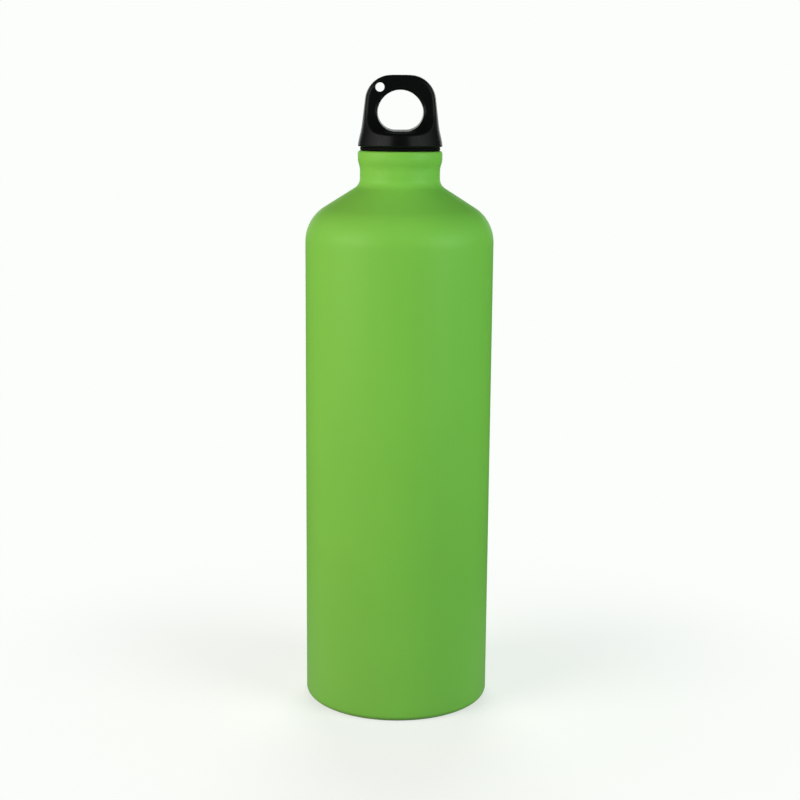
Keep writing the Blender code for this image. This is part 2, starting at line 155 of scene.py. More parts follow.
class ShellSizes(bpy.types.PropertyGroup):
    """Sizes of the one-piece aluminium shell."""

    body_radius: length("Body Radius", shell_high.x, "Outside of the straight body")
    lip_height: length("Lip Height", shell_high.z, "Top of the rolled lip above the floor")
    wall: length("Wall", 0.0008, "Thickness of the shell")
    base_corner_radius: length("Base Corner", 0.0025, "Round between the body and the ring it stands on")
    foot_width: length("Foot Width", 0.003, "Width of the ring that the bottle stands on")
    foot_fillet: length("Foot Fillet", 0.003, "Round between that ring and the dome")
    dome_rise: length("Dome Rise", 0.0066, "How far the base is pushed up in the middle")
    shoulder_radius: length("Shoulder Radius", 0.0156, "Round between the body and the shoulder's slope")
    shoulder_slope: angle("Shoulder Slope", 32.3, "Fall of the shoulder from the neck")
    neck_radius: length("Neck Radius", 0.01545, "Outside of the waist under the bead")
    neck_fillet: length("Neck Fillet", 0.0045, "Hollow between the shoulder and the waist")
    waist_height: length("Waist Height", 0.0029, "Straight part of the waist")
    bead_radius: length("Bead Radius", 0.0163, "Outside of the bead under the lip")
    bead_height: length("Bead Height", 0.0026, "Straight part of the bead up to the lip")
    bead_fillet: length("Bead Fillet", 0.0075, "Radii of the bend from the waist to the bead")
    lip_edge_radius: length("Lip Edge", 0.001, "Round on the lip's outer edge")
    mouth_radius: length("Mouth Radius", 0.013, "Opening in the lip")
    mouth_edge_radius: length("Mouth Edge", 0.00035, "Round on the lip's inner edge")


class ThreadSizes(bpy.types.PropertyGroup):
    """Sizes of the coarse screw thread, the ring and the stopper."""

    pitch: length("Pitch", 0.004, "Rise of the thread in one turn")
    depth: length("Depth", 0.0012, "From the thread's root to its crest")
    pitch_radius: length("Pitch Radius", 0.012, "Middle of the stopper's thread")
    gap: length("Gap", 0.0003, "Play between the stopper and the ring")
    crest_share: share("Crest Share", 0.3, "Part of the pitch that the crest takes up")
    flank_share: share("Flank Share", 0.22, "Part of the pitch that each flank takes up")
    run_out: length("Run-out", 0.0016, "Length over which the thread fades at its ends")
    stem_wall: length("Stem Wall", 0.0018, "Wall of the hollow stopper")
    stem_chamfer: length("Stem Chamfer", 0.001, "Chamfer on the stopper's foot")
    collar_step: length("Collar Step", 0.0007, "How far the collar stands out over the pitch radius")
    head_radius: length("Head Radius", 0.0133, "Outside of the head that is pressed into the cap")
    snap_depth: length("Snap Depth", 0.0004, "How far the snap bead stands out from the head")
    gate_radius: length("Gate Radius", 0.0016, "Round mark in the middle of the stopper's foot")
    gate_depth: length("Gate Depth", 0.0003, "Depth of the round mark")


class GasketSizes(bpy.types.PropertyGroup):
    """Sizes of the silicone gasket, squeezed between the lip and the cap."""

    radius: length("Radius", gasket_high.x, "Outside of the gasket")
    bore: length("Bore", 0.0131, "Inside of the gasket")
    squeeze_gap: length("Squeeze Gap", 0.00006, "Air left over and under the squeezed gasket")
    edge_radius: length("Edge Radius", 0.0005, "Round of its edges, which bulge a little")


class CapSizes(bpy.types.PropertyGroup):
    """Sizes of the moulded loop cap, measured from the cap's foot."""

    height: length("Height", cap_high.z - cap_low.z, "From the cap's foot to the loop's top")
    skirt_radius: length("Skirt Radius", cap_high.x, "Outside of the skirt at its foot")
    band_draft: angle("Band Draft", 5, "Lean of the narrow band at the skirt's foot")
    band_height: length("Band Height", 0.0015, "Height of that band")
    skirt_draft: angle("Skirt Draft", 13.1, "Lean of the skirt above the band")
    skirt_height: length("Skirt Height", 0.0069, "Where the skirt turns into the loop's side")
    skirt_foot_radius: length("Skirt Foot Radius", 0.0005, "Round on the skirt's lower edge")
    side_draft: angle("Side Draft", 6.9, "Lean of the loop's narrow sides")
    side_blend: length("Side Blend", 0.0002, "How softly the skirt runs into the loop's side")
    corner_radius: length("Corner Radius", 0.01, "Round of the loop's upper corners")
    foot_thickness: length("Foot Thickness", 0.0098, "Loop's thickness where its faces would meet the roof")
    top_thickness: length("Top Thickness", 0.0084, "Thickness of the loop at its top")
    edge_radius: length("Edge Radius", 0.001, "Round on the edges of the loop and the roof")
    roof_edge: length("Roof Edge", 0.00485, "Height of the roof at the skirt's front")
    roof_slope: angle("Roof Slope", 10, "Rise of the roof towards the loop")
    roof_fillet: length("Roof Fillet", 0.0119, "Long hollow that sweeps the roof up into the loop")
    hole_radius: length("Hole Radius", 0.0087, "Radius of the finger hole in the loop's middle")
    hole_level: length("Hole Level", 0.01262, "Height of the finger hole's middle")
    hole_floor: length("Hole Floor", 0.0064, "Height of that hole's flattened floor in the loop's middle")
    hole_draft: angle("Hole Draft", 3, "Widening of that hole towards both faces")
    hole_floor_radius: length("Hole Floor Radius", 0.0067, "Round at both ends of that floor")
    cord_hole_radius: length("Cord Hole Radius", 0.00175, "Radius of the small hole in the loop's corner")
    cord_hole_inset: length("Cord Hole Inset", 0.0031, "From that hole's middle to the loop's edge")
    cord_hole_angle: angle("Cord Hole Angle", 128, "Where that hole sits in the corner")
    cord_hole_edge: length("Cord Hole Edge", 0.00035, "Round on the small hole's edge")
    socket_radius: length("Socket Radius", 0.0136, "Pocket for the stopper's head")
    socket_gap: length("Socket Gap", 0.0003, "Air over the stopper's head in that pocket")
    socket_edge: length("Socket Edge", 0.0003, "Round inside and at the mouth of that pocket")


class Colours(bpy.types.PropertyGroup):
    """Linear colours of the finishes."""

    paint: colour("Green Paint", (0.168, 0.472, 0.059), "Satin paint outside the shell")
    plastic: colour("Black Plastic", (0.0030, 0.0040, 0.0036), "Loop cap and stopper")
    silicone: colour("Black Silicone", (0.0016, 0.0017, 0.0018), "Gasket")
    aluminium: colour("Bare Aluminium", (0.62, 0.63, 0.65), "Thread ring, and where the paint is worn away")
    lacquer: colour("Inner Lacquer", (0.56, 0.38, 0.17), "Baked lacquer inside the shell")
    backdrop: colour("Pale Backdrop", (0.965, 0.991, 0.965), "Floor and background")


class StudioSizes(bpy.types.PropertyGroup):
    """Camera and lamps."""

    camera_distance: length("Camera Distance", 0.5985, "From the bottle's axis to the camera")
    camera_height: length("Camera Height", 0.2364, "Camera above the floor")
    camera_sidestep: length("Camera Sidestep", 0.0007, "Camera to the right of the bottle's axis")
    camera_tilt: angle("Camera Tilt", 10.968, "How far the camera looks down")
    camera_roll: angle("Camera Roll", 0.454, "How far the camera is turned about its view")
    focal_length: share("Focal Length", 69.21, "Lens in millimetres, on a sensor 36 mm wide")
    key_power: power("Key Power", 1.78, "Large soft lamp on the left")
    fill_power: power("Fill Power", 1.38, "Large soft lamp on the right")
    back_power: power("Back Power", 1.45, "Large soft lamp behind the bottle")
    lamp_distance: length("Lamp Distance", 0.8, "From the bottle's axis to each lamp")
    lamp_height: length("Lamp Height", 0.33, "Middle of the lamps above the floor")
    lamp_side: angle("Lamp Side", 59, "Turn of the key and fill lamps from the camera about the axis")
    room_glow: share("Room Glow", 0.07, "Strength of the light from everywhere")
    left_wall: share("Left Wall", 0.9, "Strength of the pale wall on the left in reflections")
    right_wall: share("Right Wall", 0.62, "Strength of the pale wall on the right in reflections")
    side_share: share("Side Share", 0.05, "How much of that strength is left further back")
    back_wall: share("Back Wall", 1.0, "Strength of the low pale wall behind the bottle in reflections")


class Number:
    """A node's output on which Python's own arithmetic works, each step adding a Math node."""

    def __init__(self, nodes, socket):
        self.nodes = nodes
        self.socket = socket

    def maths(self, operation, *values):
        return self.nodes.node("ShaderNodeMath", {"operation": operation}, dict(enumerate(values)))

    def __add__(self, other):
        return self.maths("ADD", self, other)

    def __sub__(self, other):
        return self.maths("SUBTRACT", self, other)

    def __rsub__(self, other):
        return self.maths("SUBTRACT", other, self)

    def __mul__(self, other):
        return self.maths("MULTIPLY", self, other)

    def __truediv__(self, other):
        return self.maths("DIVIDE", self, other)

    def __rtruediv__(self, other):
        return self.maths("DIVIDE", other, self)

    def __abs__(self):
        return self.maths("ABSOLUTE", self)

    __radd__ = __add__
    __rmul__ = __mul__


class Nodes:
    """The nodes of a material or of the world."""

    def __init__(self, owner):
        owner.use_nodes = True
        self.tree = owner.node_tree

    def node(self, kind, settings=None, inputs=None, output=0):
        """Adds a node: first its settings, then the values or links of its sockets."""
        made = self.tree.nodes.new(kind)
        for name, value in (settings or {}).items():
            setattr(made, name, value)
        for name, value in (inputs or {}).items():
            self.feed(made.inputs[name], value)
        return Number(self, made.outputs[output])

    def feed(self, socket, value):
        if isinstance(value, Number):
            self.tree.links.new(value.socket, socket)
        else:
            socket.default_value = value

    def ray(self, kind):
        """1 for rays of that kind and 0 for all others."""
        return self.node("ShaderNodeLightPath", output=f"Is {kind} Ray")

    def seen(self):
        """1 for what the camera sees, directly or through something clear."""
        return self.ray("Camera") + self.ray("Transmission")

    def place(self):
        """Where a point lies on the bottle, in metres."""
        return self.node("ShaderNodeTexCoord", output="Object")

    def along(self, place, axis):
        return self.node("ShaderNodeSeparateXYZ", {}, {"Vector": place}, axis)

    def stretched(self, place, factors):
        settings = {"operation": "MULTIPLY"}
        return self.node("ShaderNodeVectorMath", settings, {0: place, 1: factors})

    def noise(self, place, per_metre, detail=2.0, roughness=0.5):
        """Soft mottling with about that many spots to the metre, from 0 to 1."""
        inputs = {"Vector": place, "Scale": per_metre, "Detail": detail, "Roughness": roughness}
        return self.node("ShaderNodeTexNoise", {}, inputs)

    def ramp(self, value, start, end, low=0.0, high=1.0):
        """A smooth change from low to high as value goes from start to end."""
        inputs = {"Value": value, "From Min": start, "From Max": end, "To Min": low, "To Max": high}
        return self.node("ShaderNodeMapRange", {"interpolation_type": "SMOOTHSTEP"}, inputs)

    def mixed(self, factor, first, second):
        """A colour between two others."""
        settings = {"data_type": "RGBA"}
        inputs = {"Factor": factor, 6: rgba(first), 7: rgba(second)}
        return self.node("ShaderNodeMix", settings, inputs, 2)

    def toned(self, factor, base, darkest, lightest):
        """A colour that varies between two shades of itself."""
        return self.mixed(factor, shade(base, darkest), shade(base, lightest))

    def bump(self, height, depth):
        """A relief of the surface, where height 1 stands depth metres over height 0."""
        return self.node("ShaderNodeBump", {}, {"Strength": 1.0, "Distance": depth, "Height": height})


def rgba(value):
    return value if isinstance(value, Number) else (*value, 1.0)


def shade(value, factor):
    """A colour made lighter or darker."""
    return tuple(min(part * factor, 1.0) for part in value)


def principled(name, constants, build):
    """A Principled material with fixed values, whose other sockets are fed from what build returns."""
    material = bpy.data.materials.new(name)
    nodes = Nodes(material)
    shader = nodes.tree.nodes["Principled BSDF"]
    for socket, value in {**constants, **build(nodes)}.items():
        nodes.feed(shader.inputs[socket], value)
    return material


def hairlines(nodes, place, per_metre, stretch, patches_per_metre):
    """Thin sparse scratches: noise drawn out in one direction, cut to its highest ridges."""
    lines = nodes.noise(nodes.stretched(place, stretch), per_metre, detail=1.0)
    patches = nodes.noise(place, patches_per_metre, detail=1.0)
    return nodes.ramp(lines, *RIDGES) * nodes.ramp(patches, *PATCHES)


def green_paint(colours):
    """Satin paint: faint clouds and pigment grains, orange peel, and metal where the foot is worn."""

    def build(nodes):
        place = nodes.place()
        clouds = nodes.noise(place, per_metre=26.0, detail=3.0)
        grains = nodes.noise(place, per_metre=2600.0, detail=1.0)
        peel = nodes.noise(place, per_metre=820.0, detail=2.0, roughness=0.4)
        rubs = hairlines(nodes, place, per_metre=210.0, stretch=(0.07, 0.07, 1.0), patches_per_metre=14.0)
        rags = nodes.noise(place, per_metre=450.0, detail=4.0, roughness=0.65)
        worn_foot = nodes.ramp(nodes.along(place, "Z") + rags * WORN_SCATTER, *WORN_EDGE)
        paint = nodes.toned(clouds * 0.6 + grains * 0.4, colours.paint, darkest=0.93, lightest=1.07)
        return {
            "Base Color": nodes.mixed(worn_foot, paint, colours.aluminium),
            "Metallic": worn_foot,
            "Roughness": 0.39 + clouds * 0.06 + grains * 0.03 + rubs * 0.09,
            "Normal": nodes.bump(peel * 0.8 + grains * 0.2 - rubs * 0.25, depth=0.00003),
        }

    return principled("satin_green_paint", {"Specular IOR Level": 0.65}, build)


def inner_lacquer(colours):
    """Thin amber lacquer baked on the inside of the shell, over bare metal."""

    def build(nodes):
        place = nodes.place()
        flow = nodes.noise(nodes.stretched(place, (1.0, 1.0, 0.2)), per_metre=60.0, detail=3.0)
        specks = nodes.noise(place, per_metre=1500.0, detail=1.0)
        return {
            "Base Color": nodes.toned(flow, colours.lacquer, darkest=0.8, lightest=1.15),
            "Roughness": 0.3 + flow * 0.1 + specks * 0.05,
            "Normal": nodes.bump(flow * 0.7 + specks * 0.3, depth=0.00002),
        }

    return principled("amber_lacquer", {"Metallic": 0.85}, build)


def turned_aluminium(colours):
    """Machined aluminium with fine rings from the cutting tool."""

    def build(nodes):
        place = nodes.place()
        rings = nodes.noise(nodes.stretched(place, (0.04, 0.04, 1.0)), per_metre=5200.0, detail=2.0)
        stains = nodes.noise(place, per_metre=130.0, detail=3.0)
        return {
            "Base Color": nodes.toned(stains, colours.aluminium, darkest=0.86, lightest=1.05),
            "Roughness": 0.24 + stains * 0.1 + rings * 0.08,
            "Normal": nodes.bump(rings, depth=0.000006),
        }

    return principled("turned_aluminium", {"Metallic": 1.0}, build)


def moulded_plastic(colours, parting_floor):
    """Black moulded plastic: spark-eroded grain, faint flow marks, scuffs and the mould's parting line."""

    def build(nodes):
        place = nodes.place()
        grain = nodes.noise(place, per_metre=5200.0, detail=2.0, roughness=0.6)
        flow = nodes.noise(nodes.stretched(place, (1.0, 1.0, 0.45)), per_metre=85.0, detail=3.0)
        scuffs = hairlines(nodes, place, per_metre=900.0, stretch=(1.0, 0.6, 0.06), patches_per_metre=110.0)
        above = nodes.ramp(nodes.along(place, "Z"), parting_floor, parting_floor + PARTING_FADE)
        parting = nodes.ramp(abs(nodes.along(place, "Y")), *PARTING_HALF) * above
        relief = grain * 0.25 + flow * 0.1 + parting * 0.9 - scuffs * 0.2
        return {
            "Base Color": nodes.toned(flow * 0.6 + scuffs * 0.4, colours.plastic, darkest=0.8, lightest=1.5),
            "Roughness": 0.21 + grain * 0.05 + flow * 0.06 + scuffs * 0.14,
            "Normal": nodes.bump(relief, depth=0.00003),
        }

    return principled("black_moulded_plastic", {"Specular IOR Level": 0.42}, build)


def black_silicone(colours):
    """Matte silicone with the fine bloom and dust that it picks up."""

    def build(nodes):
        place = nodes.place()
        bloom = nodes.noise(place, per_metre=420.0, detail=3.0)
        dust = nodes.ramp(nodes.noise(place, per_metre=3600.0, detail=2.0), *DUST)
        return {
            "Base Color": nodes.toned(bloom * 0.5 + dust * 0.5, colours.silicone, darkest=1.0, lightest=2.2),
            "Roughness": 0.5 + bloom * 0.12 + dust * 0.1,
            "Normal": nodes.bump(bloom * 0.6 + dust * 0.4, depth=0.00002),
        }

    return principled("black_silicone", {"Specular IOR Level": 0.2}, build)


def arc(centre, radius, start, end, steps):
    """Points of a round stretch of an outline about centre, from one angle to another."""
    turns = [start + (end - start) * i / steps for i in range(steps + 1)]
    return [(centre[0] + radius * math.cos(t), centre[1] + radius * math.sin(t)) for t in turns]


def straight(start, end, steps):
    """Points of a straight stretch of an outline, without its first."""
    return [tuple(a + (b - a) * i / steps for a, b in zip(start, end)) for i in range(1, steps + 1)]


def finished(name, shape, materials, body, node, sharp_angle=SHARP_ANGLE):
    """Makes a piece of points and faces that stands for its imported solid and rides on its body."""
    points, faces = shape
    mesh = bpy.data.meshes.new(name)
    mesh.from_pydata(points, [], faces)
    for material in materials:
        mesh.materials.append(material)
    mesh.shade_smooth()
    mesh.set_sharp_from_angle(angle=sharp_angle)
    piece = bpy.data.objects.new(name, mesh)
    bpy.context.scene.collection.objects.link(piece)
    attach(piece, body)
    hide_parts(node)
    return piece


def turned(outline, steps, relief=None):
    """Points and faces of an outline turned about Z, whose (radius, height) points run down the outer side.

    An outline that starts on the axis ends there too, and any other closes on its first point. relief, if
    given, returns how far the surface stands out at each point from its angle, radius and height.
    """
    closed = outline[0][0] > 0
    angles = np.linspace(0, 2 * math.pi, steps, endpoint=False)
    points, rows = [], []
    for radius, height in outline:
        around = steps if radius > 0 else 1
        rows.append([len(points) + i for i in range(around)] if radius > 0 else [len(points)] * steps)
        for turn in angles[:around]:
            reach = radius + (relief(turn, radius, height) if relief else 0)
            points.append((reach * math.cos(turn), reach * math.sin(turn), height))
    pairs = list(zip(rows, rows[1:] + rows[:1])) if closed else list(zip(rows, rows[1:]))
    faces = []
    for upper, lower in pairs:
        for i in range(steps):
            j = (i + 1) % steps
            faces.append(list(dict.fromkeys((upper[i], lower[i], lower[j], upper[j]))))
    return points, faces


def neck_levels(s):
    """Heights of the bead's foot, the waist's top and the waist's foot, and the turn of the bead's bend."""
    turn = math.acos(1 - (s.bead_radius - s.neck_radius) / (2 * s.bead_fillet))
    bead_foot = s.lip_height - s.bead_height
    waist_top = bead_foot - 2 * s.bead_fillet * math.sin(turn)
    return bead_foot, waist_top, waist_top - s.waist_height, turn


def neck_outline(s, inset):
    """The neck's side from the lip's outer corner to the foot of the waist, moved inwards by inset."""
    bead_foot, waist_top, waist_foot, turn = neck_levels(s)
    edge = max(s.lip_edge_radius - inset, LEAST_ROUND)
    corner = (s.bead_radius - inset - edge, s.lip_height - inset - edge)
    bead = (s.bead_radius - s.bead_fillet, bead_foot)
    waist = (s.neck_radius + s.bead_fillet, waist_top)
    points = arc(corner, edge, math.pi / 2, 0, EDGE_STEPS)
    points += arc(bead, s.bead_fillet - inset, 0, -turn, EDGE_STEPS)
    points += arc(waist, s.bead_fillet + inset, math.pi - turn, math.pi, EDGE_STEPS)[1:]
    return points + straight(points[-1], (s.neck_radius - inset, waist_foot), WAIST_ROWS)


def shell_outline(s, inset):
    """The shell's side from the foot of the waist to the middle of the base, moved inwards by inset."""
    waist_foot = neck_levels(s)[2]
    lean = math.pi / 2 - s.shoulder_slope
    fillet = (s.neck_radius + s.neck_fillet, waist_foot)
    slope_top = (fillet[0] - s.neck_fillet * math.cos(lean), fillet[1] - s.neck_fillet * math.sin(lean))
    middle = s.body_radius - s.shoulder_radius
    slope_run = middle + s.shoulder_radius * math.cos(lean) - slope_top[0]
    slope_foot = slope_top[1] - slope_run * math.tan(s.shoulder_slope)
    shoulder = (middle, slope_foot - s.shoulder_radius * math.sin(lean))
    corner = (s.body_radius - s.base_corner_radius, s.base_corner_radius)
    foot = (corner[0] - s.foot_width, s.foot_fillet)
    dome_turn = 2 * math.atan(s.dome_rise / foot[0])
    dome_radius = (foot[0] - s.foot_fillet * math.sin(dome_turn)) / math.sin(dome_turn)
    dome = (0, s.dome_rise - dome_radius)

    points = arc(fillet, s.neck_fillet + inset, math.pi, math.pi + lean, FILLET_STEPS)
    points += arc(shoulder, s.shoulder_radius - inset, lean, 0, SHOULDER_STEPS)
    points += straight(points[-1], (s.body_radius - inset, corner[1]), WALL_ROWS)
    points += arc(corner, s.base_corner_radius - inset, 0, -math.pi / 2, CORNER_STEPS)[1:]
    points += arc(foot, s.foot_fillet - inset, -math.pi / 2, -math.pi / 2 - dome_turn, EDGE_STEPS)
    points += arc(dome, dome_radius + inset, math.pi / 2 - dome_turn, math.pi / 2, DOME_STEPS)[1:-1]
    return points + [(0, s.dome_rise + inset)]


def eased(part):
    """A smooth course from 0 to 1."""
    return part * part * (3 - 2 * part)


def thread_relief(t, cylinder, low, high):
    """How far a right-hand thread stands out from the cylinder of that radius, fading at low and high."""

    def relief(turn, radius, height):
        if abs(radius - cylinder) >= t.gap / 2 or not low < height < high:
            return 0.0
        phase = (height / t.pitch - turn / (2 * math.pi)) % 1
        flank = max(min(phase, 1 - phase) - t.crest_share / 2, 0) / t.flank_share
        fade = min(height - low, high - height, t.run_out) / t.run_out
        return t.depth * (0.5 - eased(min(flank, 1))) * eased(fade)

    return relief


class BOTTLE_OT_shell(bpy.types.Operator):
    """Turns the painted shell, lacquered inside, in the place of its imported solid"""

    bl_idname = "bottle.shell"
    bl_label = "Painted Shell"

    def execute(self, context):
        s, colours = context.scene.shell_sizes, context.scene.bottle_colours
        edge = (s.mouth_radius + s.mouth_edge_radius, s.lip_height - s.mouth_edge_radius)
        mouth = arc(edge, s.mouth_edge_radius, math.pi, math.pi / 2, MOUTH_STEPS)
        outside = neck_outline(s, 0)[:-1] + shell_outline(s, 0)
        inside = neck_outline(s, s.wall)[:-1] + shell_outline(s, s.wall)
        under_lip = [(s.mouth_radius, s.lip_height - s.wall)]
        shape = turned(inside[::-1] + under_lip + mouth + outside, BODY_STEPS)
        materials = [green_paint(colours), inner_lacquer(colours)]
        piece = finished("painted_shell", shape, materials, "bottle", "bottle_shell")
        lacquered = (len(inside) + len(under_lip)) * BODY_STEPS
        slots = [int(i < lacquered) for i in range(len(piece.data.polygons))]
        piece.data.polygons.foreach_set("material_index", slots)
        return {"FINISHED"}


class BOTTLE_OT_thread_ring(bpy.types.Operator):
    """Turns the aluminium ring in the neck and cuts its inside thread"""

    bl_idname = "bottle.thread_ring"
    bl_label = "Thread Ring"

    def execute(self, context):
        s, t = context.scene.shell_sizes, context.scene.thread_sizes
        side = neck_outline(s, s.wall + t.gap)
        bore = t.pitch_radius + t.gap
        lead_in = s.mouth_radius - bore
        foot, top = side[-1][1], side[0][1]
        outline = [(s.mouth_radius, top), *side, (s.mouth_radius, foot)]
        outline += straight(outline[-1], (bore, foot + lead_in), 1)
        rows = round((top - foot - 2 * lead_in) / THREAD_ROW)
        outline += straight(outline[-1], (bore, top - lead_in), rows)
        shape = turned(outline, CLOSURE_STEPS, thread_relief(t, bore, foot + lead_in, top - lead_in))
        metal = turned_aluminium(context.scene.bottle_colours)
        finished("machined_ring", shape, [metal], "bottle", "thread_ring")
        return {"FINISHED"}


class BOTTLE_OT_gasket(bpy.types.Operator):
    """Turns the silicone gasket, squeezed between the lip and the cap"""

    bl_idname = "bottle.gasket"
    bl_label = "Gasket"

    def execute(self, context):
        g = context.scene.gasket_sizes
        low = context.scene.shell_sizes.lip_height + g.squeeze_gap
        high = cap_low.z - g.squeeze_gap
        edge, quarter = g.edge_radius, math.pi / 2
        outline = arc((g.radius - edge, high - edge), edge, quarter, 0, EDGE_STEPS)
        outline += arc((g.radius - edge, low + edge), edge, 0, -quarter, EDGE_STEPS)
        outline += arc((g.bore + edge, low + edge), edge, -quarter, -2 * quarter, EDGE_STEPS)
        outline += arc((g.bore + edge, high - edge), edge, 2 * quarter, quarter, EDGE_STEPS)
        shape = turned(outline, CLOSURE_STEPS)
        rubber = black_silicone(context.scene.bottle_colours)
        finished("silicone_gasket", shape, [rubber], "seal", "gasket")
        return {"FINISHED"}


class BOTTLE_OT_stopper(bpy.types.Operator):
    """Turns the hollow stopper and raises its outside thread"""

    bl_idname = "bottle.stopper"
    bl_label = "Screw Stopper"

    def execute(self, context):
        s, t = context.scene.shell_sizes, context.scene.thread_sizes
        foot, top = stopper_low.z, stopper_high.z
        inside, floor = t.pitch_radius - t.stem_wall, foot + t.stem_wall
        collar, collar_foot = t.pitch_radius + t.collar_step, s.lip_height - s.wall
        snap = cap_low.z + (top - cap_low.z) / 2
        thread_foot, thread_top = foot + t.stem_chamfer, collar_foot - t.collar_step
        outline = [(0, floor), (inside, floor), (inside, top), (t.head_radius, top)]
        outline += arc((t.head_radius, snap), t.snap_depth, math.pi / 2, -math.pi / 2, EDGE_STEPS)
        outline += [(t.head_radius, cap_low.z), (collar, cap_low.z), (collar, collar_foot)]
        outline += straight(outline[-1], (t.pitch_radius, thread_top), 1)
        rows = round((thread_top - thread_foot) / THREAD_ROW)
        outline += straight(outline[-1], (t.pitch_radius, thread_foot), rows)
        outline += [(t.pitch_radius - t.stem_chamfer, foot), (t.gate_radius, foot)]
        outline += [(t.gate_radius, foot + t.gate_depth), (0, foot + t.gate_depth)]
        shape = turned(outline, CLOSURE_STEPS, thread_relief(t, t.pitch_radius, thread_foot, thread_top))
        plastic = moulded_plastic(context.scene.bottle_colours, cap_high.z)
        finished("screw_stopper", shape, [plastic], "cap", "stopper")
        return {"FINISHED"}


def rounded_max(first, second, radius):
    """The larger of two distances, with the edge where they meet rounded off."""
    corner = np.hypot(np.maximum(first + radius, 0), np.maximum(second + radius, 0))
    return np.minimum(np.maximum(first, second), -radius) + corner


def soft_min(first, second, width):
    """The smaller of two nearly parallel distances, blended over a small difference."""
    return np.minimum(first, second) - np.maximum(width - abs(first - second), 0) ** 2 / (4 * width)


def cap_corner(c):
    """Middle of the round in the loop's upper corner, as (radius, height)."""
    height = c.height - c.corner_radius
    level = height + c.corner_radius * math.sin(c.side_draft)
    side = skirt_top_radius(c) - (level - c.skirt_height) * math.tan(c.side_draft)
    return side - c.corner_radius * math.cos(c.side_draft), height


def band_top_radius(c):
    """Radius at which the narrow band at the foot meets the rest of the skirt."""
    return c.skirt_radius - c.band_height * math.tan(c.band_draft)


def skirt_top_radius(c):
    """Radius at which the skirt meets the loop's narrow side."""
    return band_top_radius(c) - (c.skirt_height - c.band_height) * math.tan(c.skirt_draft)


def side_distance(c, radius, height):
    """Distance to the cap's turned side and top, below zero inside."""
    band = (radius - c.skirt_radius) * math.cos(c.band_draft) + height * math.sin(c.band_draft)
    skirt = (radius - band_top_radius(c)) * math.cos(c.skirt_draft)
    skirt += (height - c.band_height) * math.sin(c.skirt_draft)
    side = (radius - skirt_top_radius(c)) * math.cos(c.side_draft)
    side += (height - c.skirt_height) * math.sin(c.side_draft)
    whole = soft_min(-soft_min(-band, -skirt, c.side_blend), side, c.side_blend)
    top = height - c.height
    middle = cap_corner(c)
    across, up = radius - middle[0], height - middle[1]
    turn = np.arctan2(up, across)
    in_corner = (turn > c.side_draft) & (turn < math.pi / 2)
    return np.where(in_corner, np.hypot(across, up) - c.corner_radius, np.maximum(whole, top))


def finger_hole_distance(c, across, height):
    """Distance to the finger hole's outline, below zero inside: a round with a flattened, rounded floor."""
    reach = c.hole_radius - c.hole_floor_radius
    floor = c.hole_floor + c.hole_floor_radius - c.hole_level
    half = math.sqrt(reach * reach - floor * floor)
    side, up = abs(across), height - c.hole_level
    to_round = np.hypot(side, up) - reach
    to_corner = np.hypot(side - half, up - floor)
    above = np.arctan2(up, side) > math.atan2(floor, half)
    beside = np.where(side > half, to_corner, floor - up)
    return np.where(above, to_round, beside) - c.hole_floor_radius


def face_distance(c, off_middle, height):
    """Distance to the loop's broad face, the long fillet under it and the roof, below zero inside."""
    half_foot, half_top, reach = c.foot_thickness / 2, c.top_thickness / 2, c.roof_fillet
    roof_top = c.roof_edge + (c.skirt_radius - half_foot) * math.tan(c.roof_slope)
    draft = math.atan2(half_foot - half_top, c.height - roof_top)
    face = (off_middle - half_top) * math.cos(draft) + (height - c.height) * math.sin(draft)
    roof = (height - c.roof_edge) * math.cos(c.roof_slope)
    roof += (off_middle - c.skirt_radius) * math.sin(c.roof_slope)
    back = reach * math.tan((math.pi / 2 - draft - c.roof_slope) / 2)
    across = off_middle - half_foot + back * math.sin(draft) - reach * math.cos(draft)
    up = height - roof_top - back * math.cos(draft) - reach * math.sin(draft)
    turn = np.arctan2(up, across)
    in_fillet = (turn > draft - math.pi) & (turn < -math.pi / 2 - c.roof_slope)
    return np.where(in_fillet, reach - np.hypot(across, up), np.minimum(face, roof))


def cap_distance(c, x, y, z):
    """Distance to the loop cap's surface, below zero inside the plastic."""
    height, radius = z - cap_low.z, np.hypot(x, y)
    side = rounded_max(side_distance(c, radius, height), -height, c.skirt_foot_radius)
    cap = rounded_max(side, face_distance(c, abs(y), height), c.edge_radius)
    hole = finger_hole_distance(c, x, height) - abs(y) * math.tan(c.hole_draft)
    cap = rounded_max(cap, -hole * math.cos(c.hole_draft), c.edge_radius)
    corner_x, corner_height = cap_corner(c)
    out = c.corner_radius - c.cord_hole_inset
    hole_x = out * math.cos(c.cord_hole_angle) - corner_x
    hole_height = corner_height + out * math.sin(c.cord_hole_angle)
    cord_hole = np.hypot(x - hole_x, height - hole_height) - c.cord_hole_radius
    cap = rounded_max(cap, -cord_hole, c.cord_hole_edge)
    socket_depth = stopper_high.z + c.socket_gap - cap_low.z
    pocket = rounded_max(radius - c.socket_radius, height - socket_depth, c.socket_edge)
    return rounded_max(cap, -pocket, c.socket_edge)


